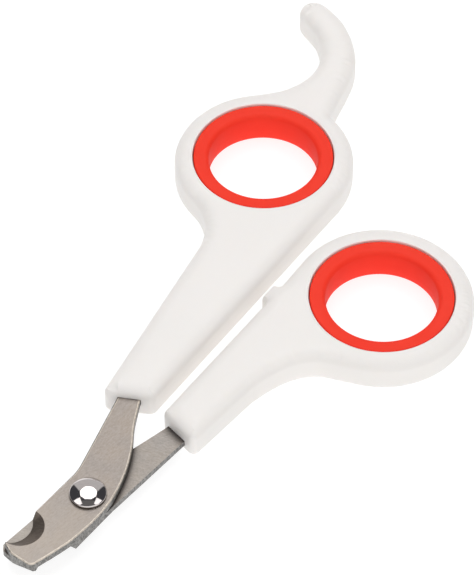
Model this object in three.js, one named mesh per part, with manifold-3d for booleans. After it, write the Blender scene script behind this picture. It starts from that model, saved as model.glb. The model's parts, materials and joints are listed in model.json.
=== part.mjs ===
// Scissor-type pet nail clipper. Two steel blades cross at a domed pivot. Each blade has a slanted
// half-round notch that holds the claw, and each tang is buried in a moulded handle with a finger ring.
// The finger handle carries a curved tail for the little finger, and the thumb handle carries a small stop
// nub. A soft grommet lines each ring. The clipper lies flat on z = 0 with its blade tips towards -X,
// nearly closed.

import * as THREE from "three";
import { mergeVertices } from "three/addons/utils/BufferGeometryUtils.js";
import Module from "manifold-3d";

const wasm = await Module();
wasm.setup();

// ---- Driving dimensions, in millimetres, measured from the pivot axis ----

const HANDLE_HEIGHT = 7.2;
const HANDLE_EDGE = 1.6; // rounding of the handles' outer edges
const RING_RADIUS = 16.2; // outside of each handle's ring
const FINGER_RING = new THREE.Vector2(78.15, 20.1);
const THUMB_RING = new THREE.Vector2(63.3, -15.85);

const FINGER_BORE = new THREE.Vector2(78, 20.15); // the bores are not quite concentric with the rings
const THUMB_BORE = new THREE.Vector2(63.2, -15.95);
const GROMMET_RADIUS = 12.65; // outside of the soft lining
const GROMMET_BORE = 9.6;
const GROMMET_RECESS = 0.25; // the lining stops this far short of the handle's faces
const GROMMET_LIP = 0.95; // rounding from the lining's face into its bore
const GROMMET_GAP = 0.15;
const RIB_DEPTH = 0.7; // the handle's rib that holds the lining
const RIB_HEIGHT = 1.4;

const BLADE_THICKNESS = 1.4;
const BLADE_GAP = 0.1; // between the two blades
const NOTCH_RADIUS = 3.9;
const NOTCH_SHIFT = 2.5; // how far the slanted notch moves outward from the outer face to the cutting edge
const PIVOT_HOLE = 2.3;
const TANG_GAP = 0.3; // between a tang and its pocket
const TANG_HOLE = 1.3; // the moulding grips the tang through these

const STACK_GAP = 0.05; // between pivot parts that rest on each other
const HEAD_RADIUS = 3.15;
const HEAD_RIM = 0.45;
const HEAD_DOME = 1.0;
const BARREL_RADIUS = 2.2;
const THREAD_RADIUS = 1.2;
const THREAD_GAP = 0.1;
const THREAD_RELIEF = 0.3; // from the threaded hole's end up to the underside of the barrel's head
const SCREW_END_GAP = 0.4; // from the screw's end to the threaded hole's end
const WASHER_RADIUS = 3.1;
const WASHER_THICKNESS = 0.4;
const SCREW_HEAD_RADIUS = 2.6;
const SCREW_HEAD_HEIGHT = 0.9;
const SCREW_HEAD_CHAMFER = { width: 0.5, height: 0.4 };
const SLOT = { width: 0.7, depth: 0.4 };

const FINGER_TANG_HOLES = [new THREE.Vector2(29, 8.4), new THREE.Vector2(40, 9.6)];
const THUMB_TANG_HOLES = [new THREE.Vector2(28.5, -4.1), new THREE.Vector2(38.5, -4.7)];

// ---- Levels up the stack ----

const MIDDLE = HANDLE_HEIGHT / 2;
const FRONT_BOTTOM = MIDDLE + BLADE_GAP / 2;
const FRONT_TOP = FRONT_BOTTOM + BLADE_THICKNESS;
const BACK_TOP = MIDDLE - BLADE_GAP / 2;
const BACK_BOTTOM = BACK_TOP - BLADE_THICKNESS;

const HANDLE_STEP = 1.5; // chord length along a handle's curves
const BLADE_STEP = 0.5; // chord length along a blade's curves
const ROUND_SEGMENTS = 48;
const MERGE = 0.02; // points closer together than this are one point

const WHITE_PLASTIC = new THREE.MeshStandardMaterial({ color: 0xf0efed, roughness: 0.38, metalness: 0 });
const RED_RUBBER = new THREE.MeshStandardMaterial({ color: 0xf2382c, roughness: 0.5, metalness: 0 });
const BRUSHED_STEEL = new THREE.MeshStandardMaterial({ color: 0xb5aca4, roughness: 0.42, metalness: 1 });
const POLISHED_STEEL = new THREE.MeshStandardMaterial({ color: 0xd2d2d6, roughness: 0.1, metalness: 1 });

// ---- Outlines: closed lists of points made from corners, arcs and curves ----

const at = (x, y, radius = 0) => ({ corner: new THREE.Vector2(x, y), radius });
const arc = (centre, radius, from, to) => ({ centre, radius, from, to });
const through = (...points) => ({ through: points.map(([x, y]) => new THREE.Vector2(x, y)) });

const polar = (centre, radius, angle) =>
  new THREE.Vector2(centre.x + radius * Math.cos(angle), centre.y + radius * Math.sin(angle));
const angleTo = (from, to) => Math.atan2(to.y - from.y, to.x - from.x);

// The angle at which a line from an outside point touches a circle, on its left (+1) or right (-1) side.
const touch = (centre, radius, point, side) =>
  angleTo(centre, point) + side * Math.acos(radius / centre.distanceTo(point));

// The same direction as to, written so that it is counter-clockwise of from by less than a turn.
const turnTo = (from, to) => to + 2 * Math.PI * Math.ceil((from - to) / (2 * Math.PI));

// The centre of the fillet between a line and a circle, on the line's left (+1) or right (-1) side.
function filletCentre(start, end, side, radius, circleCentre, circleRadius) {
  const along = end.clone().sub(start).normalize();
  const centre = polar(start, radius, angleTo(start, end) + (side * Math.PI) / 2);
  const offset = centre.clone().sub(circleCentre);
  const lead = offset.dot(along);
  const travel = -lead - Math.sqrt(lead ** 2 - offset.lengthSq() + (circleRadius + radius) ** 2);
  return centre.addScaledVector(along, travel);
}

function arcPoints({ centre, radius, from, to }, step) {
  const count = Math.max(3, Math.ceil((Math.abs(to - from) * radius) / step));
  return Array.from({ length: count + 1 }, (_, i) => polar(centre, radius, from + ((to - from) * i) / count));
}

function cornerPoints(before, { corner, radius }, after, step) {
  if (!radius) return [corner];
  const inward = before.clone().sub(corner).normalize();
  const outward = after.clone().sub(corner).normalize();
  const halfAngle = Math.acos(inward.dot(outward)) / 2;
  const bisector = inward.clone().add(outward).normalize();
  const centre = corner.clone().addScaledVector(bisector, radius / Math.sin(halfAngle));
  const start = corner.clone().addScaledVector(inward, radius / Math.tan(halfAngle));
  const end = corner.clone().addScaledVector(outward, radius / Math.tan(halfAngle));
  const from = angleTo(centre, start);
  const sweep = angleTo(centre, end) - from;
  const shortSweep = Math.atan2(Math.sin(sweep), Math.cos(sweep));
  return arcPoints({ centre, radius, from, to: from + shortSweep }, step);
}

const firstOf = (s) => s.corner ?? (s.through ? s.through[0] : polar(s.centre, s.radius, s.from));
const lastOf = (s) => s.corner ?? (s.through ? s.through.at(-1) : polar(s.centre, s.radius, s.to));

// All the stations' points in order, without the ones that repeat where two stations meet.
function outline(stations, step) {
  const points = stations.flatMap((s, i) => {
    if (s.centre) return arcPoints(s, step);
    if (s.through) {
      const curve = new THREE.SplineCurve(s.through);
      return curve.getSpacedPoints(Math.ceil(curve.getLength() / step));
    }
    return cornerPoints(lastOf(stations.at(i - 1)), s, firstOf(stations[(i + 1) % stations.length]), step);
  });
  return points.filter((point, i) => point.distanceTo(points.at(i - 1)) > MERGE);
}

// ---- Solids ----

function toSolid(geometry) {
  const bare = new THREE.BufferGeometry().setAttribute("position", geometry.getAttribute("position"));
  if (geometry.index) bare.setIndex(geometry.index);
  const merged = mergeVertices(bare, 1e-4);
  return new wasm.Manifold(
    new wasm.Mesh({
      numProp: 3,
      vertProperties: merged.attributes.position.array,
      triVerts: new Uint32Array(merged.index.array),
    }),
  );
}

function toGeometry(solid) {
  const { numProp, numVert, vertProperties, triVerts } = solid.getMesh();
  const positions = new Float32Array(numVert * 3);
  for (let i = 0; i < numVert; i++) {
    positions.set(vertProperties.subarray(i * numProp, i * numProp + 3), i * 3);
  }
  const geometry = new THREE.BufferGeometry();
  geometry.setAttribute("position", new THREE.BufferAttribute(positions, 3));
  geometry.setIndex(new THREE.BufferAttribute(triVerts, 1));
  return geometry;
}

// A plate with a flat edge, or with a rounded one where edge is given.
function plate(points, bottom, top, edge = 0) {
  const geometry = new THREE.ExtrudeGeometry(new THREE.Shape(points), {
    depth: top - bottom - 2 * edge,
    bevelEnabled: edge > 0,
    bevelThickness: edge,
    bevelSize: edge,
    bevelOffset: -edge,
    bevelSegments: 3,
  });
  return toSolid(geometry.translate(0, 0, bottom + edge));
}

// A round part: profile points are [radius, height] pairs, and the axis is vertical through centre.
function turned(profile, centre = new THREE.Vector2()) {
  const points = profile.map(([radius, height]) => new THREE.Vector2(radius, height));
  const geometry = new THREE.LatheGeometry(points, ROUND_SEGMENTS).rotateX(Math.PI / 2);
  return toSolid(geometry.translate(centre.x, centre.y, 0));
}

const circle = (centre, radius) =>
  arcPoints({ centre, radius, from: 0, to: 2 * Math.PI }, BLADE_STEP).slice(1);

// Turned profile points along a quarter round, from one angle to another.
const quarter = (radius, height, size, from, to, count = 3) =>
  Array.from({ length: count + 1 }, (_, i) => {
    const angle = from + ((to - from) * i) / count;
    return [radius + size * Math.cos(angle), height + size * Math.sin(angle)];
  });

// ---- Handles ----

const FINGER_FRONT = [at(17.8, 10.9, 1.9), at(22.1, 2.95, 1.9)];
const FINGER_NECK = new THREE.Vector2(61.6, 18.4); // where the shank's outer edge is heading
const FINGER_NECK_RADIUS = 11;
const TAIL = through(
  [94, 16.4], [98.3, 17.6], [102.8, 18.7], [107, 20.1], [110.2, 22.2], [113.2, 25.3], [115.55, 29],
  [116.75, 32.6], [117, 34.7], [116.2, 36.4], [114.7, 37.15], [112.95, 36.75], [111.85, 35.4],
  [110.95, 33.15], [109.95, 31], [108, 28.75], [105.7, 26.95], [103.1, 25.85], [100.4, 25.55],
  [97.3, 26.1], [94.4, 27.35], [91.9, 29.2],
);
const THUMB_FRONT = [at(20.6, -0.15, 1.9), at(18.75, -7.95, 1.9)];
const THUMB_NECK = through([34, -9.1], [38.2, -10.15], [42.4, -12.0], [45.4, -14.8], [47.0, -18.4]);

// The closing stop on the thumb handle's upper edge: how far it goes along the handle, and up to what Y.
const NUB = { from: 50.95, to: 55.15, reach: 1.35, root: -3, corner: 0.7, edge: 0.4, inset: 0.6 };

function fingerOutline() {
  const front = FINGER_FRONT[0].corner;
  const ringStart = touch(FINGER_RING, RING_RADIUS, FINGER_FRONT[1].corner, 1);
  const tailStart = angleTo(FINGER_RING, firstOf(TAIL));
  const tailEnd = angleTo(FINGER_RING, lastOf(TAIL));
  const neck = filletCentre(front, FINGER_NECK, 1, FINGER_NECK_RADIUS, FINGER_RING, RING_RADIUS);
  return outline(
    [
      ...FINGER_FRONT,
      arc(FINGER_RING, RING_RADIUS, ringStart, turnTo(ringStart, tailStart)),
      TAIL,
      arc(FINGER_RING, RING_RADIUS, tailEnd, turnTo(tailEnd, angleTo(FINGER_RING, neck))),
      arc(neck, FINGER_NECK_RADIUS, angleTo(neck, FINGER_RING), angleTo(front, FINGER_NECK) - Math.PI / 2),
    ],
    HANDLE_STEP,
  );
}

function thumbOutline() {
  const ringStart = angleTo(THUMB_RING, lastOf(THUMB_NECK));
  const ringEnd = turnTo(ringStart, touch(THUMB_RING, RING_RADIUS, THUMB_FRONT[0].corner, -1));
  return outline(
    [...THUMB_FRONT, THUMB_NECK, arc(THUMB_RING, RING_RADIUS, ringStart, ringEnd)],
    HANDLE_STEP,
  );
}

// The hole that the grommet sits in, with the rib left standing half way up.
function ringBore(centre) {
  const wall = GROMMET_RADIUS + GROMMET_GAP;
  const rib = wall - RIB_DEPTH;
  return turned(
    [
      [0, -1],
      [wall, -1],
      [wall, MIDDLE - RIB_HEIGHT / 2],
      [rib, MIDDLE - RIB_HEIGHT / 2],
      [rib, MIDDLE + RIB_HEIGHT / 2],
      [wall, MIDDLE + RIB_HEIGHT / 2],
      [wall, HANDLE_HEIGHT + 1],
      [0, HANDLE_HEIGHT + 1],
    ],
    centre,
  );
}

// The pocket that a tang leaves in its moulding, with pins through the tang's holes.
function tangPocket(tang, bottom, holes) {
  const points = tang.map(([x, y]) => new THREE.Vector2(x, y));
  const pocket = plate(points, bottom - TANG_GAP, bottom + BLADE_THICKNESS + TANG_GAP);
  return holes.reduce(
    (left, hole) => left.subtract(plate(circle(hole, TANG_HOLE - TANG_GAP), -1, HANDLE_HEIGHT + 1)),
    pocket,
  );
}

const FINGER_POCKET = [[15.5, 7.8], [17.5, 3.6], [24.3, 5.7], [46.6, 7.5], [46.6, 11.9], [24, 10.2]];
const THUMB_POCKET = [
  [17, -0.4], [17, -5.8], [24, -6.3], [44.6, -6.8], [44.6, -2.8], [24, -2.2], [20, -1.15],
];

function fingerHandle() {
  return plate(fingerOutline(), 0, HANDLE_HEIGHT, HANDLE_EDGE)
    .subtract(ringBore(FINGER_BORE))
    .subtract(tangPocket(FINGER_POCKET, FRONT_BOTTOM, FINGER_TANG_HOLES));
}

function thumbHandle() {
  const { from, to, reach, root, corner, edge, inset } = NUB;
  const corners = [at(from, root), at(to, root), at(to, reach, corner), at(from, reach, corner)];
  const nub = plate(outline(corners, BLADE_STEP), inset, HANDLE_HEIGHT - inset, edge);
  return plate(thumbOutline(), 0, HANDLE_HEIGHT, HANDLE_EDGE)
    .add(nub)
    .subtract(ringBore(THUMB_BORE))
    .subtract(tangPocket(THUMB_POCKET, BACK_BOTTOM, THUMB_TANG_HOLES));
}

// ---- Grommets ----

function grommet(centre) {
  const low = GROMMET_RECESS;
  const high = HANDLE_HEIGHT - GROMMET_RECESS;
  const lip = GROMMET_BORE + GROMMET_LIP;
  const groove = GROMMET_RADIUS - RIB_DEPTH;
  const grooveHalf = RIB_HEIGHT / 2 + GROMMET_GAP;
  const profile = [
    [GROMMET_RADIUS, low],
    [GROMMET_RADIUS, MIDDLE - grooveHalf],
    [groove, MIDDLE - grooveHalf],
    [groove, MIDDLE + grooveHalf],
    [GROMMET_RADIUS, MIDDLE + grooveHalf],
    [GROMMET_RADIUS, high],
    ...quarter(lip, high - GROMMET_LIP, GROMMET_LIP, Math.PI / 2, Math.PI),
    ...quarter(lip, low + GROMMET_LIP, GROMMET_LIP, Math.PI, 1.5 * Math.PI),
  ];
  return turned([...profile, profile[0]], centre);
}

// ---- Blades ----

const FRONT_NOTCH = { centre: new THREE.Vector2(-11.8, 4.9), outward: 1.55 };
const BACK_NOTCH = { centre: new THREE.Vector2(-12.15, -2.6), outward: -1.91 };
const FRONT_SPINE = through(
  [-15.9, -1.8], [-12, -2.95], [-8.5, -3.75], [-3.5, -4.2], [0.5, -4.05], [4, -3.35],
  [8, -2.05], [12.15, -0.05], [16.2, 2.55], [20.8, 4.9],
);
const BACK_SPINE = through(
  [20.2, -1.5], [16.7, -0.6], [13, 0.4], [8, 1.85], [3.5, 3.2], [-1, 4.2], [-5, 4.6],
  [-9, 4.95], [-15.6, 5.65],
);

const FRONT_OUTLINE = [
  FRONT_SPINE,
  at(24.4, 6.05, 3),
  at(46.2, 7.85, 1.5),
  at(46.2, 11.5, 1.5),
  at(24, 9.85, 3),
  at(19.5, 8.65),
  at(3.0, 4.5, 10),
  at(-16.05, 4.95),
  at(-17.05, 2.9, 3),
  at(-17.15, -1.45, 1.2),
];
const BACK_OUTLINE = [
  BACK_SPINE,
  at(-16.6, 4.9, 0.6),
  at(-16.95, 2.6, 3),
  at(-16.3, -1.05),
  at(-8.35, -4.0),
  at(2, -4.3, 30),
  at(19.2, -5.6),
  at(24, -5.95, 5),
  at(44.2, -6.4, 1.4),
  at(44.2, -3.2, 1.4),
  at(24, -2.55, 3),
];

// The leaning cylinder that cuts a claw notch. Its axis crosses a blade's edge at the outer face and has
// moved outward by NOTCH_SHIFT at the cutting face, so the notch has a sharp inner edge.
function notchCutter({ centre, outward }, outerFace, cuttingFace) {
  const lean = polar(new THREE.Vector2(), NOTCH_SHIFT / (cuttingFace - outerFace), outward);
  const height = 3 * BLADE_THICKNESS;
  const geometry = new THREE.CylinderGeometry(NOTCH_RADIUS, NOTCH_RADIUS, height, ROUND_SEGMENTS);
  geometry.rotateX(Math.PI / 2).applyMatrix4(new THREE.Matrix4().makeShear(0, 0, 0, 0, lean.x, lean.y));
  return toSolid(geometry.translate(centre.x, centre.y, outerFace));
}

function blade(stations, notch, outerFace, cuttingFace, tangHoles) {
  const bottom = Math.min(outerFace, cuttingFace);
  const drill = (centre, radius) => plate(circle(centre, radius), -1, HANDLE_HEIGHT + 1);
  return plate(outline(stations, BLADE_STEP), bottom, bottom + BLADE_THICKNESS)
    .subtract(notchCutter(notch, outerFace, cuttingFace))
    .subtract(drill(new THREE.Vector2(), PIVOT_HOLE))
    .subtract(drill(tangHoles[0], TANG_HOLE))
    .subtract(drill(tangHoles[1], TANG_HOLE));
}

const frontBlade = () => blade(FRONT_OUTLINE, FRONT_NOTCH, FRONT_TOP, FRONT_BOTTOM, FINGER_TANG_HOLES);
const backBlade = () => blade(BACK_OUTLINE, BACK_NOTCH, BACK_BOTTOM, BACK_TOP, THUMB_TANG_HOLES);

// ---- Pivot: a domed barrel nut, a slotted screw into it from below, and a washer under its head ----

const HEAD_BOTTOM = FRONT_TOP + STACK_GAP;
const BARREL_BOTTOM = BACK_BOTTOM + STACK_GAP;
const WASHER_TOP = BACK_BOTTOM - STACK_GAP;
const WASHER_BOTTOM = WASHER_TOP - WASHER_THICKNESS;
const SCREW_HEAD_TOP = WASHER_BOTTOM - STACK_GAP;
const THREAD_TOP = HEAD_BOTTOM - THREAD_RELIEF;
const SCREW_TOP = THREAD_TOP - SCREW_END_GAP;

// Points over a shallow dome, from its rim to its crown.
function dome(radius, rimHeight, rise, count = 5) {
  const sphere = (radius ** 2 + rise ** 2) / (2 * rise);
  return Array.from({ length: count + 1 }, (_, i) => {
    const r = radius * (1 - i / count);
    return [r, rimHeight + Math.sqrt(sphere ** 2 - r ** 2) - (sphere - rise)];
  });
}

function pivotBarrel() {
  return turned([
    [0, THREAD_TOP],
    [THREAD_RADIUS, THREAD_TOP],
    [THREAD_RADIUS, BARREL_BOTTOM],
    [BARREL_RADIUS, BARREL_BOTTOM],
    [BARREL_RADIUS, HEAD_BOTTOM],
    [HEAD_RADIUS, HEAD_BOTTOM],
    ...dome(HEAD_RADIUS, HEAD_BOTTOM + HEAD_RIM, HEAD_DOME),
  ]);
}

function pivotWasher() {
  const bore = THREAD_RADIUS + THREAD_GAP;
  return turned([
    [bore, WASHER_BOTTOM],
    [WASHER_RADIUS, WASHER_BOTTOM],
    [WASHER_RADIUS, WASHER_TOP],
    [bore, WASHER_TOP],
    [bore, WASHER_BOTTOM],
  ]);
}

function pivotScrew() {
  const shank = THREAD_RADIUS - THREAD_GAP;
  const headBottom = SCREW_HEAD_TOP - SCREW_HEAD_HEIGHT;
  const body = turned([
    [0, headBottom],
    [SCREW_HEAD_RADIUS - SCREW_HEAD_CHAMFER.width, headBottom],
    [SCREW_HEAD_RADIUS, headBottom + SCREW_HEAD_CHAMFER.height],
    [SCREW_HEAD_RADIUS, SCREW_HEAD_TOP],
    [shank, SCREW_HEAD_TOP],
    [shank, SCREW_TOP],
    [0, SCREW_TOP],
  ]);
  const slot = new THREE.BoxGeometry(3 * SCREW_HEAD_RADIUS, SLOT.width, 2 * SLOT.depth);
  return body.subtract(toSolid(slot.translate(0, 0, headBottom)));
}

// ---- Assembly ----

function piece(name, solid, material) {
  const mesh = new THREE.Mesh(toGeometry(solid), material);
  mesh.name = name;
  return mesh;
}

const fingerLever = new THREE.Group();
fingerLever.add(
  piece("finger_handle", fingerHandle(), WHITE_PLASTIC),
  piece("finger_grommet", grommet(FINGER_BORE), RED_RUBBER),
  piece("front_blade", frontBlade(), BRUSHED_STEEL),
  piece("pivot_barrel", pivotBarrel(), POLISHED_STEEL),
  piece("pivot_washer", pivotWasher(), POLISHED_STEEL),
  piece("pivot_screw", pivotScrew(), POLISHED_STEEL),
);

const thumbLever = new THREE.Group();
thumbLever.add(
  piece("thumb_handle", thumbHandle(), WHITE_PLASTIC),
  piece("thumb_grommet", grommet(THUMB_BORE), RED_RUBBER),
  piece("back_blade", backBlade(), BRUSHED_STEEL),
);

// The part's origin is the middle of its footprint, on the surface it lies on.
const clipper = new THREE.Group();
clipper.add(fingerLever, thumbLever);
const footprint = new THREE.Box3().setFromObject(clipper);
const middle = footprint.getCenter(new THREE.Vector3());
fingerLever.position.set(-middle.x, -middle.y, 0);
thumbLever.position.set(-middle.x, -middle.y, 0);

export default clipper;
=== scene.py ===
"""A scissor-type nail clipper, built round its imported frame.

Shapes are worked out in millimetres about the pivot axis, with z = 0 on the surface that the clipper lies
on, and are placed in metres by the frame's own hinge. Every visible piece stands for one CAD node.
"""

import json
import math

import bmesh
import bpy
import numpy as np
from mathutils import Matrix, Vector
from mathutils.geometry import delaunay_2d_cdt


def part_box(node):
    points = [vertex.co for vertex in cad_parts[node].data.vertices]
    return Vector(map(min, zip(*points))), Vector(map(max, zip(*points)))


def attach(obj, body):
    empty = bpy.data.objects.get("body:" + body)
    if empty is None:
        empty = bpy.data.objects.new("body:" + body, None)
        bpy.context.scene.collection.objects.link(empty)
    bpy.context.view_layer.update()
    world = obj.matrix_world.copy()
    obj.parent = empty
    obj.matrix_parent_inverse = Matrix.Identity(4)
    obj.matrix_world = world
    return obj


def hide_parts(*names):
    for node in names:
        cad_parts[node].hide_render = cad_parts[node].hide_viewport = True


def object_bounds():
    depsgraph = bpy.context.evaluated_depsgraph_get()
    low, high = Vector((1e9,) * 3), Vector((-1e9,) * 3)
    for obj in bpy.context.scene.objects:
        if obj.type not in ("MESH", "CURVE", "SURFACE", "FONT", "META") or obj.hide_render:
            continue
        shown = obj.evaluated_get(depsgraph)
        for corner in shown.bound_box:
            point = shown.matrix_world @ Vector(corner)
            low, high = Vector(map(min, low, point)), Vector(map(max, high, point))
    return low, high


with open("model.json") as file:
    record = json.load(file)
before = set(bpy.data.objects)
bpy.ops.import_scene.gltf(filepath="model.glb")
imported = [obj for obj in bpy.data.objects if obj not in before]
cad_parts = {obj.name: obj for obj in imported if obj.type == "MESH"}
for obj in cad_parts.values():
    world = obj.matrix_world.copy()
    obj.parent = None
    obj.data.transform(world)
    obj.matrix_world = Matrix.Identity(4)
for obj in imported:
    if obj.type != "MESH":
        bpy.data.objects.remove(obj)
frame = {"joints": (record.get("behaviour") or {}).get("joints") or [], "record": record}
cad_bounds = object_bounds()

# ---- Places that the frame gives, in millimetres about the pivot ----

MM = 0.001
PIVOT = Vector((*frame["joints"][0]["pos_m"][:2], 0))  # the pivot axis, at the level of the floor


def cad_box(node):
    """A CAD node's lowest and highest corners, in millimetres about the pivot."""
    low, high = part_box(node)
    return (np.array(low) - tuple(PIVOT)) / MM, (np.array(high) - tuple(PIVOT)) / MM


def cad_centre(node):
    low, high = cad_box(node)
    return ((low + high) / 2)[:2]


HANDLE_HEIGHT = cad_box("finger_handle")[1][2]
MIDDLE = HANDLE_HEIGHT / 2
FINGER_RING = cad_centre("finger_grommet")
THUMB_RING = cad_centre("thumb_grommet")
GROMMET_LOW, GROMMET_HIGH = cad_box("finger_grommet")
GROMMET_RADIUS = (GROMMET_HIGH[0] - GROMMET_LOW[0]) / 2
FRONT_BOTTOM, FRONT_TOP = cad_box("front_blade")[0][2], cad_box("front_blade")[1][2]
BACK_BOTTOM, BACK_TOP = cad_box("back_blade")[0][2], cad_box("back_blade")[1][2]
HEAD_LOW, HEAD_HIGH = cad_box("pivot_barrel")
HEAD_RADIUS = (HEAD_HIGH[0] - HEAD_LOW[0]) / 2

# ---- Other sizes, in millimetres ----

RING_RADIUS = 16.2
EDGE_INSET = 2.6  # how far in from its outline a handle's face starts to curve down
EDGE_DROP = 2.0  # how far it curves down before the side wall
RIM_EDGE = 0.25  # rounding of a handle's rim round the grommet
GROMMET_GAP = 0.15  # between a grommet and its handle's bore
TANG_FIT = 0.05  # gap round a blade where it enters its handle

NOTCH_RADIUS = 3.9
NOTCH_SHIFT = 2.5  # how far the slanted notch moves outward between a blade's two faces
PIVOT_HOLE = 2.3  # radius of the hole for the barrel
TANG_HOLE = 1.3  # radius of the holes that the moulding grips
TANG_START = 24  # beyond this X, a blade is well inside its handle
FRONT_SOFTENING = (0.32, 0.25)  # how wide and how deep the outer face's softened edge is
BACK_SOFTENING = (0.25, 0.2)
CRISP_EDGE = 0.06  # the same, both ways, in the notch and round the tang

# ---- How fine the meshes are ----

HANDLE_STEP = 0.35  # length of a step along a curve, in millimetres
BLADE_STEP = 0.15
NOTCH_STEPS = 48
EDGE_STEPS = 4  # steps round a blade's softened edge
ROUND_SEGMENTS = 160
PIVOT_HOLE_SEGMENTS = 96
TANG_HOLE_SEGMENTS = 32
SAME_POINT = 1e-6  # points nearer than this become one
BATCH = 2000  # how many points are measured at a time, so that memory stays small
SMOOTH_ANGLE = math.radians(35)  # a sharper bend than this shows as an edge
LEVEL = 0.999  # a face whose normal's z is beyond this, either way, is level

# ---- Outlines: closed, counter-clockwise arrays of points ----


def polar(centre, radius, angle):
    return np.array([centre[0] + radius * math.cos(angle), centre[1] + radius * math.sin(angle)])


def angle_to(start, end):
    return math.atan2(end[1] - start[1], end[0] - start[0])


def touch(centre, radius, point, side):
    """The angle, from a circle's centre, at which a line from an outside point touches the circle.

    Side is +1 for the touch that is counter-clockwise of the point, and -1 for the other.
    """
    away = math.dist(centre, point)
    return angle_to(centre, point) + side * math.acos(radius / away)


def turn_to(start, end):
    """The angle end, written so that it is counter-clockwise of start by less than a turn."""
    return end + 2 * math.pi * math.ceil((start - end) / (2 * math.pi))


def fillet_centre(start, end, side, radius, centre, circle_radius):
    """The centre of the fillet between a line and a circle, on the line's left (+1) or right (-1) side."""
    heading = angle_to(start, end)
    along = polar((0, 0), 1, heading)
    first = polar(start, radius, heading + side * math.pi / 2)
    offset = first - centre
    lead = offset @ along
    travel = -lead - math.sqrt(lead**2 - offset @ offset + (circle_radius + radius) ** 2)
    return first + travel * along


def arc(centre, radius, start, end, step=None, count=None):
    """Points along an arc, in a count of steps, or else in four or more steps no longer than step."""
    count = count or max(4, math.ceil(abs(end - start) * radius / step))
    return np.array([polar(centre, radius, a) for a in np.linspace(start, end, count + 1)])


def circle(centre, radius, segments=ROUND_SEGMENTS):
    return arc(centre, radius, 0, 2 * math.pi, count=segments)[:-1]


def catmull_rom(p0, p1, p2, p3, t):
    """The point a share t of the way from p1 to p2, on a curve that also passes through p0 and p3."""
    slope = p2 - p0
    bend = 2 * p0 - 5 * p1 + 4 * p2 - p3
    twist = 3 * (p1 - p2) + p3 - p0
    return 0.5 * (2 * p1 + slope * t + bend * t**2 + twist * t**3)


def spline(points, step):
    """A Catmull-Rom curve through the points."""
    points = np.array(points, float)
    ends = np.vstack([2 * points[0] - points[1], points, 2 * points[-1] - points[-2]])
    curve = []
    for p0, p1, p2, p3 in zip(ends, ends[1:], ends[2:], ends[3:]):
        count = max(2, math.ceil(math.dist(p1, p2) / step))
        curve += [catmull_rom(p0, p1, p2, p3, t) for t in np.linspace(0, 1, count, endpoint=False)]
    return np.vstack([curve, points[-1]])


def corner(before, point, after, radius, step):
    """A corner between two straight edges, rounded by radius."""
    before, point, after = (np.array(p, float) for p in (before, point, after))
    inward = (before - point) / math.dist(before, point)
    outward = (after - point) / math.dist(after, point)
    half = math.acos(np.clip(inward @ outward, -1, 1)) / 2
    bisector = (inward + outward) / np.linalg.norm(inward + outward)
    centre = point + bisector * radius / math.sin(half)
    start = angle_to(centre, point + inward * radius / math.tan(half))
    sweep = angle_to(centre, point + outward * radius / math.tan(half)) - start
    return arc(centre, radius, start, start + math.atan2(math.sin(sweep), math.cos(sweep)), step)


def rounded(corners, step):
    """A run of corners, each (x, y, radius).

    The first and last only say where the run comes from and goes to.
    """
    runs = []
    for before, here, after in zip(corners, corners[1:], corners[2:]):
        sharp = [np.array([here[:2]], float)]
        runs += sharp if not here[2] else [corner(before[:2], here[:2], after[:2], here[2], step)]
    return np.vstack(runs)


def resampled(points, step):
    """The outline with extra points along its straight stretches, and no two points that coincide."""
    shortest, longest = step / 10, 4 * step
    dense = []
    for here, after in zip(points, np.roll(points, -1, axis=0)):
        length = math.dist(here, after)
        if length < shortest:
            continue
        count = max(1, math.ceil(length / longest))
        dense += [here + (after - here) * i / count for i in range(count)]
    return np.array(dense)


def resampled_open(points, step):
    """As resampled, for a run that doesn't close."""
    dense = resampled(points, step)
    last = int(np.argmin(np.linalg.norm(dense - points[-1], axis=1)))
    return dense[: last + 1]


def normals_of(points):
    """Each point's unit normal, pointing out of a counter-clockwise outline."""
    edges = np.roll(points, -1, axis=0) - points
    edges /= np.linalg.norm(edges, axis=1)[:, None]
    tangents = edges + np.roll(edges, 1, axis=0)
    tangents /= np.linalg.norm(tangents, axis=1)[:, None]
    return np.stack([tangents[:, 1], -tangents[:, 0]], axis=1)


def depth_inside(points, outline):
    """How far each point is inside the outline; a point outside it has a negative depth."""
    ends = np.roll(outline, -1, axis=0)
    edges = ends - outline
    lengths = (edges**2).sum(axis=1)
    depths = []
    for start in range(0, len(points), BATCH):
        batch = points[start : start + BATCH, None]
        offset = batch - outline
        along = np.clip((offset * edges).sum(axis=2) / lengths, 0, 1)
        away = np.linalg.norm(offset - along[..., None] * edges, axis=2).min(axis=1)
        y = batch[..., 1]
        spans = (outline[:, 1] > y) != (ends[:, 1] > y)
        left = (offset[..., 0] * edges[:, 1] < offset[..., 1] * edges[:, 0]) == (edges[:, 1] > 0)
        depths.append(np.where((spans & left).sum(axis=1) % 2 == 1, away, -away))
    return np.concatenate(depths)


# ---- Meshes ----


def raised(points, height):
    """Flat points at a height, or at a list of heights."""
    return np.column_stack([points, np.broadcast_to(height, len(points))])


def ring_of(bm, row):
    return [bm.verts.new(p) for p in row]


def bridge(bm, lower, upper):
    """Quads between two closed loops of the same count."""
    for i, (a, b) in enumerate(zip(lower, upper)):
        j = (i + 1) % len(lower)
        bm.faces.new((a, lower[j], upper[j], b))


def loop_edges(*counts):
    """The edges of closed loops whose points follow one another."""
    edges, start = [], 0
    for count in counts:
        edges += [(start + i, start + (i + 1) % count) for i in range(count)]
        start += count
    return edges


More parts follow.
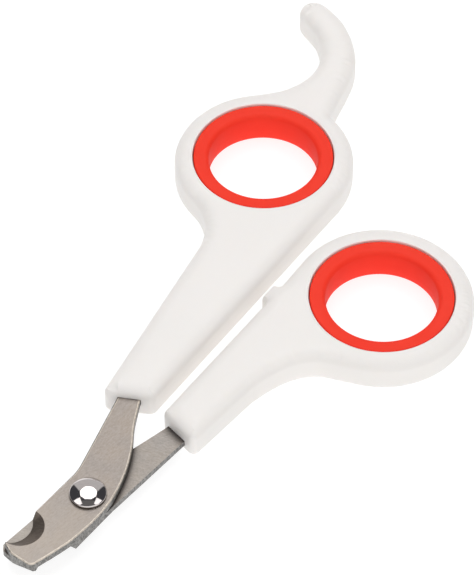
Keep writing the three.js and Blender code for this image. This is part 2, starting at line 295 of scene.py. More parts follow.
def triangulated(points, *counts):
    """Triangles over flat points, the first of which are closed loops, each with its count.

    Returns the points, the triangles, and for each point the list of the given points that it stands for.
    """
    flat, edges = [Vector(p) for p in points], loop_edges(*counts)
    whole_hull = 0
    plan, _, triangles, origins, _, _ = delaunay_2d_cdt(flat, edges, [], whole_hull, SAME_POINT)
    return np.array([tuple(p) for p in plan]), np.array([tuple(t) for t in triangles]), origins


def fill(bm, loops):
    """Triangles between an outline and the holes in it."""
    verts = [v for loop in loops for v in loop]
    plan, triangles, origins = triangulated([v.co.to_2d() for v in verts], *(len(loop) for loop in loops))
    middles = plan[triangles].mean(axis=1)
    outline, *holes = [np.array([v.co[:2] for v in loop]) for loop in loops]
    kept = depth_inside(middles, outline) > 0
    for hole in holes:
        kept &= depth_inside(middles, hole) < 0
    for triangle in triangles[kept]:
        bm.faces.new([verts[origins[i][0]] for i in triangle])


def plate(rows, holes=()):
    """A closed plate from its outline's rows, lowest first, and its holes, each a list of rows."""
    bm = bmesh.new()
    outer = [ring_of(bm, row) for row in rows]
    inner = [[ring_of(bm, row) for row in hole] for hole in holes]
    for lower, upper in zip(outer, outer[1:]):
        bridge(bm, lower, upper)
    for hole in inner:
        for lower, upper in zip(hole, hole[1:]):
            bridge(bm, lower[::-1], upper[::-1])
    fill(bm, [outer[0]] + [hole[0] for hole in inner])
    fill(bm, [outer[-1]] + [hole[-1] for hole in inner])
    bmesh.ops.recalc_face_normals(bm, faces=bm.faces)
    return bm


def hole_rows(centre, radius, low, high, segments):
    """The two rows of a straight hole."""
    return [raised(circle(centre, radius, segments), height) for height in (low, high)]


def turned(section, centre=(0, 0)):
    """A round solid about a vertical axis.

    Its section's points are (radius, height). They start and end on the axis, or go round clear of it.
    """
    bm = bmesh.new()
    loops = []
    for radius, height in section:
        points = circle(centre, radius) if radius else np.array([centre])
        loops.append(ring_of(bm, raised(points, height)))
    goes_round = section[0][0] and section[-1][0]
    for lower, upper in zip(loops, loops[1:] + loops[:1] if goes_round else loops[1:]):
        if min(len(lower), len(upper)) == 1:
            (tip,), loop = sorted((lower, upper), key=len)
            for i, v in enumerate(loop):
                bm.faces.new((tip, v, loop[(i + 1) % len(loop)]))
        else:
            bridge(bm, lower, upper)
    bmesh.ops.recalc_face_normals(bm, faces=bm.faces)
    return bm


def placed(name, bm, inside_box=True):
    """The bmesh as an object in metres, in the frame, and inside the CAD's box unless it is a cutter."""
    for v in bm.verts:
        v.co = PIVOT + v.co * MM
        if inside_box:
            v.co = Vector(np.clip(v.co, *cad_bounds))
    mesh = bpy.data.meshes.new(name)
    bm.to_mesh(mesh)
    bm.free()
    obj = bpy.data.objects.new(name, mesh)
    bpy.context.scene.collection.objects.link(obj)
    return obj


def carve(obj, bm):
    """Cuts the bmesh out of the object."""
    cutter = placed(obj.name + "_cutter", bm, inside_box=False)
    modifier = obj.modifiers.new("cut", "BOOLEAN")
    modifier.operation, modifier.solver, modifier.object = "DIFFERENCE", "EXACT", cutter
    graph = bpy.context.evaluated_depsgraph_get()
    mesh = bpy.data.meshes.new_from_object(obj.evaluated_get(graph))
    obj.modifiers.clear()
    obj.data = mesh
    bpy.data.objects.remove(cutter)


BODIES = {node: body for body, nodes in frame["record"]["behaviour"]["bodies"].items() for node in nodes}


def stand_for(node, obj, *materials, ground_faces=False):
    """Finishes a piece: shading, materials, and the CAD node whose place it takes.

    Ground faces are level and truly flat, right up to their edges.
    """
    for material in materials:
        obj.data.materials.append(material)
    obj.data.shade_smooth()
    obj.data.set_sharp_from_angle(angle=SMOOTH_ANGLE)
    if ground_faces:
        for face in obj.data.polygons:
            face.use_smooth = abs(face.normal.z) < LEVEL
    flat = obj.modifiers.new("flat_faces", "WEIGHTED_NORMAL")
    flat.keep_sharp = True
    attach(obj, BODIES[node])
    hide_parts(node)


# ---- Node helpers ----


class Shader:
    """A material or world with short ways to add nodes and join them."""

    def __init__(self, owner):
        owner.use_nodes = True
        self.tree = owner.node_tree
        self.tree.nodes.clear()

    def add(self, kind, inputs=(), **settings):
        """A node. Each input is set to a value, or joined to another node's output."""
        node = self.tree.nodes.new(kind)
        for key, value in settings.items():
            setattr(node, key, value)
        for key, value in dict(inputs).items():
            if isinstance(value, bpy.types.NodeSocket):
                self.tree.links.new(value, node.inputs[key])
            else:
                node.inputs[key].default_value = value
        return node

    def math(self, operation, a, b=0.0):
        return self.add("ShaderNodeMath", {0: a, 1: b}, operation=operation).outputs[0]

    def dot(self, a, b):
        return self.add("ShaderNodeVectorMath", {0: a, 1: b}, operation="DOT_PRODUCT").outputs["Value"]

    def ramp(self, value, low, high, to_low=0.0, to_high=1.0):
        """The value eased from one range, low to high, into another."""
        inputs = {"Value": value, "From Min": low, "From Max": high, "To Min": to_low, "To Max": to_high}
        return self.add("ShaderNodeMapRange", inputs, interpolation_type="SMOOTHSTEP").outputs[0]

    def mix(self, factor, a, b):
        """A colour between a and b. The Mix node's sockets for colours go by number."""
        return self.add("ShaderNodeMix", {0: factor, 6: a, 7: b}, data_type="RGBA").outputs[2]

    def place(self, turn=0.0, stretch=(1, 1, 1)):
        """The point on the piece in millimetres about the pivot, turned about Z and then stretched."""
        where = self.add("ShaderNodeTexCoord").outputs["Object"]
        moved = self.add("ShaderNodeMapping", {"Vector": where, "Location": -PIVOT}).outputs[0]
        spun = self.add("ShaderNodeMapping", {"Vector": moved, "Rotation": (0, 0, turn)}).outputs[0]
        scale = [s / MM for s in stretch]
        return self.add("ShaderNodeMapping", {"Vector": spun, "Scale": scale}).outputs[0]

    def noise(self, place, scale, detail=3.0, roughness=0.5):
        inputs = {"Vector": place, "Scale": scale, "Detail": detail, "Roughness": roughness}
        return self.add("ShaderNodeTexNoise", inputs).outputs["Fac"]

    def bump(self, height, depth, over=None):
        """A bump whose height input of 1 stands depth millimetres high, over another bump or none."""
        inputs = {"Height": height, "Distance": depth * MM, "Strength": 1.0}
        if over is not None:
            inputs["Normal"] = over
        return self.add("ShaderNodeBump", inputs).outputs[0]

    def surface(self, **inputs):
        named = {key.replace("_", " "): value for key, value in inputs.items()}
        shader = self.add("ShaderNodeBsdfPrincipled", named)
        self.add("ShaderNodeOutputMaterial", {0: shader.outputs[0]})


def srgb(red, green, blue):
    """A colour given in 0 to 255 display values, as linear RGBA."""
    shown = [c / 255 for c in (red, green, blue)]
    linear = [c / 12.92 if c < 0.04045 else ((c + 0.055) / 1.055) ** 2.4 for c in shown]
    return (*linear, 1.0)


# ---- Materials ----

NOISE_RANGE = (0.3, 0.7)  # most of a noise's values are between these


def new_material(name):
    material = bpy.data.materials.new(name)
    return material, Shader(material)


def white_plastic():
    """Moulded plastic: a fine grain over faint sink marks, and a slight change of white."""
    material, s = new_material("white_plastic")
    place = s.place()
    cloud = s.noise(place, scale=0.05, detail=2.0)
    grain = s.noise(place, scale=9.0, detail=2.0, roughness=0.6)
    sink = s.noise(place, scale=0.12, detail=1.0)
    s.surface(
        Base_Color=s.mix(cloud, srgb(248, 243, 240), srgb(244, 241, 237)),
        Roughness=s.ramp(grain, *NOISE_RANGE, 0.36, 0.46),
        Normal=s.bump(grain, 0.004, over=s.bump(sink, 0.12)),
        Subsurface_Weight=0.12,
        Subsurface_Radius=(0.004, 0.0035, 0.003),
        Subsurface_Scale=0.6,
        Specular_IOR_Level=0.4,
    )
    return material


def red_rubber():
    """The soft, matt lining of the rings."""
    material, s = new_material("red_rubber")
    place = s.place()
    cloud = s.noise(place, scale=0.18)
    grain = s.noise(place, scale=12.0, roughness=0.6)
    s.surface(
        Base_Color=s.mix(cloud, srgb(252, 57, 38), srgb(255, 67, 48)),
        Roughness=s.ramp(grain, *NOISE_RANGE, 0.55, 0.68),
        Normal=s.bump(grain, 0.006),
        Specular_IOR_Level=0.15,
        Subsurface_Weight=0.08,
        Subsurface_Radius=(0.003, 0.001, 0.0006),
        Subsurface_Scale=0.5,
    )
    return material


def ground_steel(name, turn, tone=(134, 127, 122), lines_depth=0.002, corner_shade=False):
    """Stainless steel with a fine satin grain, a painted highlight that brightens it towards the tip, and
    faint lines at an angle to +X.

    Steel that is given shaded corners is darker where other surfaces are near: painted shade, from an
    ambient occlusion node.
    """
    material, s = new_material(name)

    def shade(red, green, blue):
        """The tone, with something added to each of its values."""
        return srgb(tone[0] + red, tone[1] + green, tone[2] + blue)

    lines = s.noise(s.place(turn, (0.5, 6, 1)), scale=1.0, roughness=0.6)
    grain = s.noise(s.place(turn, (1.2, 2.2, 1)), scale=1.5, detail=5.0, roughness=0.8)
    cloud = s.noise(s.place(), scale=0.22)
    behind_pivot, near_tip = 6, -14
    x = s.add("ShaderNodeSeparateXYZ", {0: s.place()}).outputs["X"]
    toward_tip = s.ramp(x, behind_pivot, near_tip, to_high=0.2)
    dull = s.mix(s.ramp(cloud, *NOISE_RANGE), shade(0, 0, 0), shade(7, 4, 0))
    # painted highlight: the steel is lighter towards the tip
    tip_highlight = s.mix(toward_tip, dull, shade(52, 50, 44))
    speckled = s.mix(s.ramp(grain, 0.34, 0.66, to_high=0.55), tip_highlight, shade(46, 45, 43))
    colour = s.mix(s.ramp(lines, 0.35, 0.7, to_high=0.2), speckled, shade(-34, -36, -36))
    # painted shade: darker where other surfaces are near
    if corner_shade:
        openness = s.add("ShaderNodeAmbientOcclusion", {"Distance": 3 * MM}).outputs["AO"]
        colour = s.mix(s.ramp(openness, 0.4, 0.95), shade(-70, -70, -68), colour)
    s.surface(
        Base_Color=colour,
        Metallic=1.0,
        Roughness=s.ramp(grain, *NOISE_RANGE, 0.42, 0.54),
        Normal=s.bump(grain, 0.012, over=s.bump(lines, lines_depth)),
    )
    return material


def edge_highlight_steel():
    """The smoother softened edge round a blade's outer face, its bright colour a painted highlight."""
    material, s = new_material("edge_highlight_steel")
    grain = s.noise(s.place(), scale=2.2, detail=4.0, roughness=0.65)
    s.surface(
        Base_Color=s.mix(s.ramp(grain, *NOISE_RANGE), srgb(196, 186, 174), srgb(232, 222, 209)),
        Metallic=0.8,
        Roughness=s.ramp(grain, *NOISE_RANGE, 0.5, 0.6),
        Normal=s.bump(grain, 0.006),
    )
    return material


def sheared_shaded_steel():
    """The rougher, darker side walls that stamping leaves; part of their darkness is painted shade."""
    material, s = new_material("sheared_shaded_steel")
    tear = s.noise(s.place(0, (1.8, 1.8, 0.7)), scale=1.8, detail=5.0, roughness=0.75)
    pits = s.noise(s.place(), scale=3.5, detail=4.0, roughness=0.6)
    s.surface(
        Base_Color=s.mix(s.ramp(tear, *NOISE_RANGE), srgb(84, 83, 82), srgb(172, 170, 167)),
        Metallic=1.0,
        Roughness=s.ramp(pits, *NOISE_RANGE, 0.38, 0.6),
        Normal=s.bump(tear, 0.03, over=s.bump(pits, 0.015)),
    )
    return material


def polished_chrome():
    """The bright finish of the pivot's pieces, lightly scuffed."""
    material, s = new_material("polished_chrome")
    scuff = s.noise(s.place(), scale=2.5, detail=4.0, roughness=0.6)
    s.surface(
        Base_Color=s.mix(scuff, srgb(220, 212, 209), srgb(206, 200, 199)),
        Metallic=1.0,
        Roughness=s.ramp(scuff, 0.4, 0.7, 0.05, 0.1),
        Normal=s.bump(scuff, 0.002),
    )
    return material


plastic = white_plastic()
rubber = red_rubber()
front_steel = ground_steel("front_steel", turn=0.15)
back_steel = ground_steel("back_steel", turn=1.3, tone=(132, 127, 123), lines_depth=0.012, corner_shade=True)
notch_steel = ground_steel("notch_steel", turn=1.45, tone=(96, 87, 81), lines_depth=0.01)
painted_highlight_steel = edge_highlight_steel()
shaded_wall_steel = sheared_shaded_steel()
chrome = polished_chrome()

# ---- Handles ----

# A corner is (x, y, radius of its rounding).
FINGER_RING_OUTER = (78.15, 20.1)  # centre of the ring's outer edge
FINGER_FRONT = [(17.8, 10.9, 1.0), (19.3, 8.6, 3), (22.1, 2.95, 1.6)]
FINGER_NECK = (61.6, 18.4)  # where the shank's outer edge is heading
FINGER_NECK_RADIUS = 11.0
TAIL = [
    (93.93, 16.42), (98.3, 17.6), (102.8, 18.7), (107.0, 20.1), (110.2, 22.2), (113.2, 25.3),
    (115.55, 29.0), (116.75, 32.6), (117.0, 34.7), (116.2, 36.4), (114.7, 37.15), (112.95, 36.75),
    (111.85, 35.4), (110.95, 33.15), (109.95, 31.0), (108.0, 28.75), (105.7, 26.95), (103.1, 25.85),
    (100.4, 25.55), (97.3, 26.1), (94.4, 27.35), (92.0, 29.25), (90.0, 31.15),
]
THUMB_RING_OUTER = (63.3, -15.85)
THUMB_FRONT = [(20.6, -0.15, 0.9), (18.75, -7.95, 1.2)]
THUMB_NECK = [(34, -9.1), (38.2, -10.15), (42.4, -12.0), (45.4, -14.8), (46.9, -18.4), (48.28, -21.92)]
NUB = [(55.2, 0.05, 0.6), (54.8, 1.35, 0.6), (51.3, 1.35, 0.6), (50.9, 0.0, 0.5)]

FACE_RINGS = (0.08, RIM_EDGE, 0.6)  # how far from the bore a face's circles of points are
RINGS_CLEAR = 0.8  # how far from the bore its other points start
LEAST_DEPTH = 0.1  # how far inside the outline a circle's points have to be
FACE_ROWS = 8  # rows of points where a face curves down
ROW_SLACK = 0.03  # how much nearer the outline a row's points may be than their inset
FACE_GRID = (1.1, 0.95)  # spacing of the points in the middle of a face
ON_BORE = 0.001  # a point nearer the bore than this is on it
SOFT_SHARE = 0.75  # how far out over its curved edge a face is smoothed
SOFT_GAP = 0.5  # how near the bore it is smoothed
SOFT_ROUNDS = 8


def finger_outline():
    """Counter-clockwise from the shank's front, along its inner edge, and round the ring and the tail."""
    ring, step = FINGER_RING_OUTER, HANDLE_STEP
    front = FINGER_FRONT[0][:2]
    ring_start = touch(ring, RING_RADIUS, FINGER_FRONT[-1][:2], 1)
    neck = fillet_centre(front, FINGER_NECK, 1, FINGER_NECK_RADIUS, ring, RING_RADIUS)
    neck_end = angle_to(front, FINGER_NECK) - math.pi / 2
    tail_end = angle_to(ring, TAIL[-1])
    runs = [
        rounded([FINGER_NECK, *FINGER_FRONT, polar(ring, RING_RADIUS, ring_start)], step),
        arc(ring, RING_RADIUS, ring_start, turn_to(ring_start, angle_to(ring, TAIL[0])), step),
        spline(TAIL, step),
        arc(ring, RING_RADIUS, tail_end, turn_to(tail_end, angle_to(ring, neck)), step),
        arc(neck, FINGER_NECK_RADIUS, angle_to(neck, ring), neck_end, step),
    ]
    return resampled(np.vstack(runs), step)


def thumb_outline():
    """Counter-clockwise from the shank's front, along its outer edge, round the ring, and past the nub."""
    ring, step = THUMB_RING_OUTER, HANDLE_STEP
    ring_start = angle_to(ring, THUMB_NECK[-1])
    ring_end = touch(ring, RING_RADIUS, THUMB_FRONT[0][:2], -1)
    upper_touch = polar(ring, RING_RADIUS, ring_end)
    runs = [
        rounded([upper_touch, *THUMB_FRONT, THUMB_NECK[0]], step),
        spline(THUMB_NECK, step),
        arc(ring, RING_RADIUS, ring_start, turn_to(ring_start, ring_end), step),
        rounded([upper_touch, *NUB, THUMB_FRONT[0]], step),
    ]
    return resampled(np.vstack(runs), step)


def face_points(outline, ring, bore):
    """A handle's face as points, closest together where it curves: the outline, the bore, and the rest."""
    rings = np.vstack([circle(ring, bore + gap) for gap in FACE_RINGS])
    rings = rings[depth_inside(rings, outline) > LEAST_DEPTH]
    normals = normals_of(outline)
    rows = []
    for angle in np.linspace(0, math.pi / 2, FACE_ROWS + 1)[1:]:
        inset = EDGE_INSET * (1 - math.cos(angle))
        row = outline - normals * inset
        rows.append(row[depth_inside(row, outline) > inset - ROW_SLACK])
    low, high = outline.min(axis=0), outline.max(axis=0)
    columns, levels = (np.arange(*ends_and_step) for ends_and_step in zip(low, high, FACE_GRID))
    grid = np.stack(np.meshgrid(columns, levels), axis=-1)
    grid[1::2, :, 0] += FACE_GRID[0] / 2
    grid = grid.reshape(-1, 2)
    rows.append(grid[depth_inside(grid, outline) > EDGE_INSET + HANDLE_STEP])
    inner = np.vstack(rows)
    inner = inner[np.linalg.norm(inner - ring, axis=1) > bore + RINGS_CLEAR]
    return outline, circle(ring, bore), np.vstack([rings, inner])


def nearness(distance, width):
    """1 at an edge, falling to 0 at a width from it."""
    return 1 - np.clip(distance / width, 0, 1)


def fall(nearness_to_edge, depth):
    """How far a face has come down where it is rounded towards an edge."""
    return depth * (1 - np.sqrt(1 - nearness_to_edge**2))


def close_below(bm, top, triangles):
    """Adds the mirror image of the handle's upper face, and the walls between the two."""
    bottom = {v: bm.verts.new((v.co.x, v.co.y, HANDLE_HEIGHT - v.co.z)) for v in top}
    for edge in [edge for edge in bm.edges if edge.is_boundary]:
        a, b = edge.verts
        bm.faces.new((a, b, bottom[b], bottom[a]))
    for triangle in triangles:
        bm.faces.new([bottom[top[i]] for i in triangle])


def handle_body(outline, ring):
    """A closed handle with its bore: each face curves down to a side wall all the way round."""
    bore = GROMMET_RADIUS + GROMMET_GAP
    points = np.vstack(face_points(outline, ring, bore))
    plan, triangles, _ = triangulated(points, len(outline), ROUND_SEGMENTS)
    from_bore = np.linalg.norm(plan - ring, axis=1) - bore
    near_edge = nearness(depth_inside(plan, outline), EDGE_INSET)
    near_rim = nearness(from_bore, RIM_EDGE)
    heights = HANDLE_HEIGHT - fall(near_edge, EDGE_DROP) - fall(near_rim, RIM_EDGE)
    in_bore = (from_bore[triangles] < ON_BORE).all(axis=1)
    kept = triangles[~in_bore & (depth_inside(plan[triangles].mean(axis=1), outline) > 0)]

    bm = bmesh.new()
    top = [bm.verts.new((*p, z)) for p, z in zip(plan, heights)]
    for triangle in kept:
        bm.faces.new([top[i] for i in triangle])
    soft = [v for v, near, gap in zip(top, near_edge, from_bore) if near < SOFT_SHARE and gap > SOFT_GAP]
    for _ in range(SOFT_ROUNDS):
        bmesh.ops.smooth_vert(bm, verts=soft, factor=0.5, use_axis_z=True)
    close_below(bm, top, kept)
    bmesh.ops.recalc_face_normals(bm, faces=bm.faces)
    return bm


def pocket(outline, bottom, top):
    """The space round a blade's tang, open where the blade comes out."""
    grown = outline + normals_of(outline) * TANG_FIT
    return plate([raised(grown, bottom - TANG_FIT), raised(grown, top + TANG_FIT)])


# ---- Blades ----

FRONT_NOTCH = ((-11.8, 4.9), 1.55)  # centre on the outer face, and the direction that it opens in
BACK_NOTCH = ((-12.15, -2.6), -1.91)
FRONT_SPINE = [
    (-15.9, -1.8), (-12, -2.95), (-8.5, -3.75), (-3.5, -4.2), (0.5, -4.05), (4, -3.35), (8, -2.05),
    (12.15, -0.05), (16.2, 2.55), (20.8, 4.9),
]
BACK_SPINE = [
    (20.2, -1.5), (16.7, -0.6), (13, 0.4), (8, 1.85), (3.5, 3.2), (-1, 4.2), (-5, 4.6), (-9, 4.95),
    (-15.6, 5.65),
]
FRONT_TIP = [(-16.05, 4.95, 0), (-17.05, 2.9, 3), (-17.15, -1.45, 1.2)]
FRONT_TANG = [
    (24.4, 6.05, 3), (46.2, 7.85, 1.5), (46.2, 11.5, 1.5), (24, 9.85, 3), (19.5, 8.65, 0), (3.0, 4.5, 10),
]
BACK_TIP = [(-16.6, 4.9, 0.6), (-16.95, 2.6, 3), (-16.3, -1.05, 0)]
BACK_TANG = [
    (2, -4.3, 30), (19.2, -5.6, 0), (24, -5.95, 5), (44.2, -6.4, 1.4), (44.2, -3.2, 1.4), (24, -2.55, 3),
]
FINGER_TANG_HOLES = [(29, 8.4), (40, 9.6)]
THUMB_TANG_HOLES = [(28.5, -4.1), (38.5, -4.7)]

FACE, WALL, NOTCH, HIGHLIGHT = range(4)  # a blade's material slots
NOTCH_MARGIN = 0.15  # how far beyond its radius a notch's surface may reach
SLOPED = 0.25  # a face whose normal's z is beyond this, either way, isn't a wall
TOWARDS_CUTTING = 0.25  # a normal that leans further than this towards the cutting side faces that side


def notch_arc(notch, shift):
    """The notch's arc, with its circle moved outward by shift and its ends still level with its centre."""
    centre, outward = notch
    half = math.acos(shift / NOTCH_RADIUS)
    inward = outward + math.pi
    moved = polar(centre, shift, outward)
    return arc(moved, NOTCH_RADIUS, inward + half, inward - half, count=NOTCH_STEPS)


def blade_outline(notch, shift, runs):
    """A blade's outline at one level: the same number of points whatever the notch's shift."""
    return np.vstack([resampled_open(np.vstack(runs), BLADE_STEP), notch_arc(notch, shift)])


def front_runs():
    """From the notch's end near the tip, round the tip and the tang, to the notch's other end."""
    step = BLADE_STEP
    return [
        rounded([FRONT_NOTCH[0], *FRONT_TIP, FRONT_SPINE[0]], step),
        spline(FRONT_SPINE, step),
        rounded([FRONT_SPINE[-1], *FRONT_TANG, FRONT_NOTCH[0]], step),
    ]


def back_runs():
    """From the notch's end near the pivot, round the tang and the tip, to the notch's other end."""
    step = BLADE_STEP
    return [
        rounded([BACK_NOTCH[0], *BACK_TANG, BACK_SPINE[0]], step),
        spline(BACK_SPINE, step),
        rounded([BACK_SPINE[-1], *BACK_TIP, BACK_NOTCH[0]], step),
    ]


def blade_rows(notch, runs, outer, cutting, softening):
    """A blade's outline at each level, lowest first. Only its outer face's edge is softened."""
    edge_width, edge_depth = softening
    outline = blade_outline(notch, 0, runs)
    normals = normals_of(outline)
    width = np.where(outline[:, 0] < TANG_START, edge_width, CRISP_EDGE)
    width[-NOTCH_STEPS - 1 :] = CRISP_EDGE
    towards = 1 if outer > cutting else -1
    rows = [raised(blade_outline(notch, NOTCH_SHIFT, runs), cutting)]
    for angle in np.linspace(0, math.pi / 2, EDGE_STEPS + 1):
        inset = width * (1 - math.cos(angle))
        depth = np.minimum(width, edge_depth) * (1 - math.sin(angle))
        rows.append(raised(outline - normals * inset[:, None], outer - towards * depth))
    return rows[::towards]


def blade(notch, runs, outer, cutting, tang_holes, softening):
    """A blade with its holes, between the heights of its outer face and its cutting face."""
    low, high = min(outer, cutting), max(outer, cutting)
    holes = [hole_rows((0, 0), PIVOT_HOLE, low, high, PIVOT_HOLE_SEGMENTS)]
    holes += [hole_rows(centre, TANG_HOLE, low, high, TANG_HOLE_SEGMENTS) for centre in tang_holes]
    bm = plate(blade_rows(notch, runs, outer, cutting, softening), holes)
    paint_blade(bm, notch, outer, cutting)
    return bm


def paint_blade(bm, notch, outer, cutting):
    """Gives each face its material. The softened edges take a painted highlight, apart from the cutting
    side's, which take the walls' painted shade.
    """
    centre, outward = notch
    cutting_side = Vector((*polar((0, 0), 1, outward), 0))
    for face in bm.faces:
        middle = face.calc_center_median()
        level = (middle.z - outer) / (cutting - outer)
        from_notch = math.dist(middle[:2], polar(centre, NOTCH_SHIFT * level, outward))
        if abs(face.normal.z) > LEVEL:
            face.material_index = FACE
        elif from_notch < NOTCH_RADIUS + NOTCH_MARGIN:
            face.material_index = NOTCH
        # painted highlight: a softened edge that leans away from the cutting side
        elif abs(face.normal.z) > SLOPED and face.normal.dot(cutting_side) < TOWARDS_CUTTING:
            face.material_index = HIGHLIGHT
        # painted shade: the walls, and the cutting side's softened edge
        else:
            face.material_index = WALL


def make_blades():
    front = blade(FRONT_NOTCH, front_runs(), FRONT_TOP, FRONT_BOTTOM, FINGER_TANG_HOLES, FRONT_SOFTENING)
    back = blade(BACK_NOTCH, back_runs(), BACK_BOTTOM, BACK_TOP, THUMB_TANG_HOLES, BACK_SOFTENING)
    rest = (shaded_wall_steel, notch_steel, painted_highlight_steel)
    stand_for("front_blade", placed("front_blade_steel", front), front_steel, *rest, ground_faces=True)
    stand_for("back_blade", placed("back_blade_steel", back), back_steel, *rest, ground_faces=True)


def make_handles():
    finger = placed("finger_handle_moulding", handle_body(finger_outline(), FINGER_RING))
    carve(finger, pocket(blade_outline(FRONT_NOTCH, 0, front_runs()), FRONT_BOTTOM, FRONT_TOP))
    stand_for("finger_handle", finger, plastic)
    thumb = placed("thumb_handle_moulding", handle_body(thumb_outline(), THUMB_RING))
    carve(thumb, pocket(blade_outline(BACK_NOTCH, 0, back_runs()), BACK_BOTTOM, BACK_TOP))
    stand_for("thumb_handle", thumb, plastic)


# ---- Grommets ----

GROMMET_LIP = 0.95  # rounding from the upper band into the bore
GROMMET_LOWER_LIP = 1.6  # the same at the underside
GROMMET_RIM_RADIUS = 9.85  # where the lip turns into the bore
GROMMET_WAIST = 9.7
GROMMET_EDGE = 0.3
BAND_FALL = 0.05  # how far the band slopes down to the lip
BORE_STEPS = 10


def grommet_half(top, lip):
    """A grommet's upper half in section: outer wall, band, lip, and the bore down to the waist."""
    edge_centre = (GROMMET_RADIUS - GROMMET_EDGE, top - GROMMET_EDGE)
    lip_centre = (GROMMET_RIM_RADIUS + lip, top - lip - BAND_FALL)
    half = [
        (GROMMET_RADIUS, MIDDLE),
        *arc(edge_centre, GROMMET_EDGE, 0, math.pi / 2, count=4),
        *arc(lip_centre, lip, math.pi / 2, math.pi, count=9),
    ]
    start_height = half[-1][1]
    for t in np.linspace(0, 1, BORE_STEPS + 1)[1:]:
        radius = GROMMET_WAIST + (GROMMET_RIM_RADIUS - GROMMET_WAIST) * (1 - t) ** 2
        half.append((radius, start_height + (MIDDLE - start_height) * t))
    return half


def grommet(node, centre):
    top = cad_box(node)[1][2]
    upper = grommet_half(top, GROMMET_LIP)
    lower = grommet_half(top, GROMMET_LOWER_LIP)[1:-1][::-1]
    lower = [(radius, HANDLE_HEIGHT - height) for radius, height in lower]
    stand_for(node, placed(node + "_lining", turned(upper + lower, centre)), rubber)


# ---- Pivot ----

BARREL_RADIUS = 2.2
THREAD_RADIUS = 1.2
THREAD_PLAY = 0.1  # how much wider the washer's hole is than the thread, and the screw's shank narrower
THREAD_END = 0.3  # how far below the head's underside the threaded hole ends
HEAD_RIM = 0.45  # height of the head's side
HEAD_DOME = 1.0  # height of the crown above it
HEAD_EDGE = 0.1  # chamfer round the head's underside
CROWN_INSET = 0.06  # how far in from the side the crown ends
CROWN_DROP = 0.08  # how far down the side starts
CROWN_STEPS = 23
UPRIGHT = 0.2  # a face whose normal's z is within this, either way, is a side wall
WASHER_EDGE = 0.1
WASHER_GAP = 0.05
SCREW_EDGE = 0.4
SLOT_WIDTH = 0.7
SLOT_DEPTH = 0.4


def make_barrel():
    """A threaded barrel under a domed head. Its upright surfaces are darker than the others, painted with
    the dark notch steel as shade.
    """
    base = HEAD_HIGH[2] - HEAD_RIM - HEAD_DOME
    side_top = base + HEAD_RIM
    bore_top = base - THREAD_END
    sphere = (HEAD_RADIUS**2 + HEAD_DOME**2) / (2 * HEAD_DOME)
    crown = [
        (r, side_top + math.sqrt(sphere**2 - r**2) - (sphere - HEAD_DOME))
        for r in np.linspace(HEAD_RADIUS - CROWN_INSET, 0, CROWN_STEPS + 1)
    ]
    section = [
        (0, bore_top), (THREAD_RADIUS, bore_top), (THREAD_RADIUS, HEAD_LOW[2]),
        (BARREL_RADIUS, HEAD_LOW[2]), (BARREL_RADIUS, base),
        (HEAD_RADIUS - HEAD_EDGE, base), (HEAD_RADIUS, base + HEAD_EDGE),
        (HEAD_RADIUS, side_top - CROWN_DROP), *crown,
    ]
    nut = turned(section)
    for face in nut.faces:
        # painted shade: the head's upright side takes the dark steel
        face.material_index = int(abs(face.normal.z) < UPRIGHT)
    stand_for("pivot_barrel", placed("pivot_barrel_nut", nut), chrome, notch_steel)


def make_washer():
    low, high = cad_box("pivot_washer")
    hole, radius = THREAD_RADIUS + THREAD_PLAY, high[0]
    bottom, top = low[2], high[2]
    section = [
        (hole, bottom), (radius - WASHER_EDGE, bottom), (radius, bottom + WASHER_EDGE),
        (radius, top - WASHER_EDGE), (radius - WASHER_EDGE, top), (hole, top),
    ]
    stand_for("pivot_washer", placed("pivot_washer_ring", turned(section)), chrome)


def make_screw():
    """A slotted screw, from below, a little clear of its washer."""
    low, high = cad_box("pivot_screw")
    radius, bottom, top = high[0], low[2], high[2]
    head_top = cad_box("pivot_washer")[0][2] - WASHER_GAP
    shank = THREAD_RADIUS - THREAD_PLAY
    edge_centre = (radius - SCREW_EDGE, bottom + SCREW_EDGE)
    section = [
        (0, bottom), *arc(edge_centre, SCREW_EDGE, -math.pi / 2, 0, count=6), (radius, head_top),
        (shank, head_top), (shank, top), (0, top),
    ]
    screw = placed("pivot_screw_slotted", turned(section))
    length = 2 * radius + 1  # past both sides of the head
    slot = bmesh.new()
    bmesh.ops.create_cube(slot, size=1)
    for v in slot.verts:
        v.co = Vector((v.co.x * length, v.co.y * SLOT_WIDTH, bottom + v.co.z * 2 * SLOT_DEPTH))
    carve(screw, slot)
    stand_for("pivot_screw", screw, chrome)


# ---- Studio ----

LOOK_AT = PIVOT + Vector((54.7, 9.1, 0)) * MM
CAMERA_BACK = Vector((-0.52648, -0.38252, 0.75927))  # from the point looked at, towards the camera
CAMERA_DISTANCE = 0.5851  # in metres
LENS = 206.6  # in millimetres, as the sensor's width is
SENSOR = 36


def make_camera():
    camera = bpy.data.objects.new("camera", bpy.data.cameras.new("camera"))
    bpy.context.scene.collection.objects.link(camera)
    camera.data.lens = LENS
    camera.data.sensor_width = SENSOR
    camera.location = LOOK_AT + CAMERA_BACK * CAMERA_DISTANCE
    camera.rotation_mode = "QUATERNION"
    camera.rotation_quaternion = (-CAMERA_BACK).to_track_quat("-Z", "Y")
    bpy.context.scene.camera = camera


FLOOR_RADIUS = 6  # in metres
FLOOR_DROP = 0.02  # how far below the clipper the floor is, in millimetres


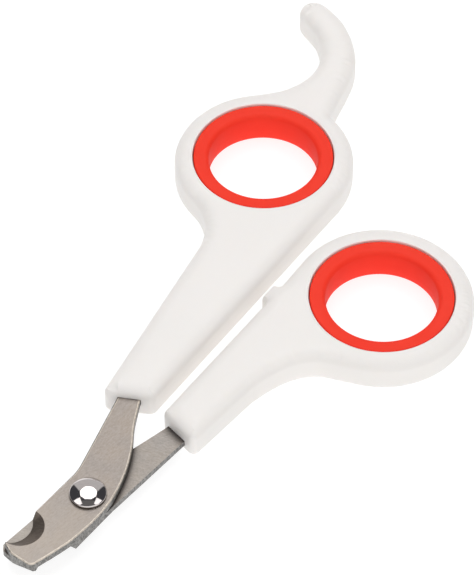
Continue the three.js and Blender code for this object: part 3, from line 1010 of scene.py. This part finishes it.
def make_floor():
    """A matt grey floor that glows a little, so that it shows as white with a faint shadow."""
    bm = bmesh.new()
    bmesh.ops.create_circle(bm, cap_ends=True, segments=64, radius=FLOOR_RADIUS)
    mesh = bpy.data.meshes.new("floor")
    bm.to_mesh(mesh)
    bm.free()
    floor = bpy.data.objects.new("floor", mesh)
    floor.location.z = -FLOOR_DROP * MM
    bpy.context.scene.collection.objects.link(floor)
    material, s = new_material("floor")
    s.surface(
        Base_Color=(0.3, 0.3, 0.3, 1),
        Roughness=0.8,
        Specular_IOR_Level=0.0,
        Emission_Color=(1, 1, 1, 1),
        Emission_Strength=0.84,
    )
    floor.data.materials.append(material)


# Each light panel of the studio: azimuth and elevation in degrees, half width and half height as tangents,
# whether its corners are cut to make an octagon, and how bright it is. Azimuth 0 is behind the camera.
PANELS = [
    (0, 72, 0.4, 0.18, False, 0.16),
    (180, 24, 0.6, 0.56, False, 0.62),
    (180, 68, 0.47, 0.47, True, 2.7),
    (75, 51, 0.22, 0.24, False, 1.6),
    (-75, 51, 0.22, 0.24, False, 1.6),
    (7, 33, 1.15, 0.46, False, 1.04),
]
HORIZON = (0.5, 0.5, 0.47, 1)
UPPER_DARK = (0.06, 0.062, 0.07, 1)
WALL_TOP = (0.03, 0.15)  # the sines of the elevations between which the lower wall fades into the dark
PANEL_EDGE = (0.94, 1.06)  # a panel fades out between these shares of its half width or height


def panel_mask(s, toward, azimuth, elevation, width, height, octagon):
    """1 in the directions that a light panel covers, and 0 in the others."""
    turn = math.atan2(CAMERA_BACK.y, CAMERA_BACK.x) + math.radians(azimuth)
    rise = math.radians(elevation)
    ahead = Vector((math.cos(turn) * math.cos(rise), math.sin(turn) * math.cos(rise), math.sin(rise)))
    side = Vector((-math.sin(turn), math.cos(turn), 0))
    depth = s.dot(toward, ahead)
    across = s.math("DIVIDE", s.math("ABSOLUTE", s.dot(toward, side / width)), depth)
    upward = s.math("DIVIDE", s.math("ABSOLUTE", s.dot(toward, ahead.cross(side) / height)), depth)
    reach = s.math("MAXIMUM", across, upward)
    if octagon:
        slant = s.math("MULTIPLY", s.math("ADD", across, upward), math.sqrt(0.5))
        reach = s.math("MAXIMUM", reach, slant)
    return s.math("MULTIPLY", s.ramp(reach, *PANEL_EDGE, 1.0, 0.0), s.math("GREATER_THAN", depth, 0.0))


def make_world():
    """A dark studio with white light panels, the last of them a soft fill, and a pale lower wall."""
    world = bpy.data.worlds.new("studio")
    bpy.context.scene.world = world
    s = Shader(world)
    toward = s.add("ShaderNodeTexCoord").outputs["Generated"]
    lowness = s.ramp(s.dot(toward, (0, 0, 1)), *WALL_TOP, 1.0, 0.0)
    colour = s.mix(lowness, UPPER_DARK, HORIZON)
    for *panel, brightness in PANELS:
        lit = (brightness, brightness, brightness, 1)
        colour = s.mix(panel_mask(s, toward, *panel), colour, lit)
    background = s.add("ShaderNodeBackground", {"Color": colour, "Strength": 1.0})
    s.add("ShaderNodeOutputWorld", {0: background.outputs[0]})


make_camera()
make_floor()
make_world()
make_handles()
make_blades()
grommet("finger_grommet", FINGER_RING)
grommet("thumb_grommet", THUMB_RING)
make_barrel()
make_washer()
make_screw()

bpy.context.scene.view_settings.view_transform = "Standard"
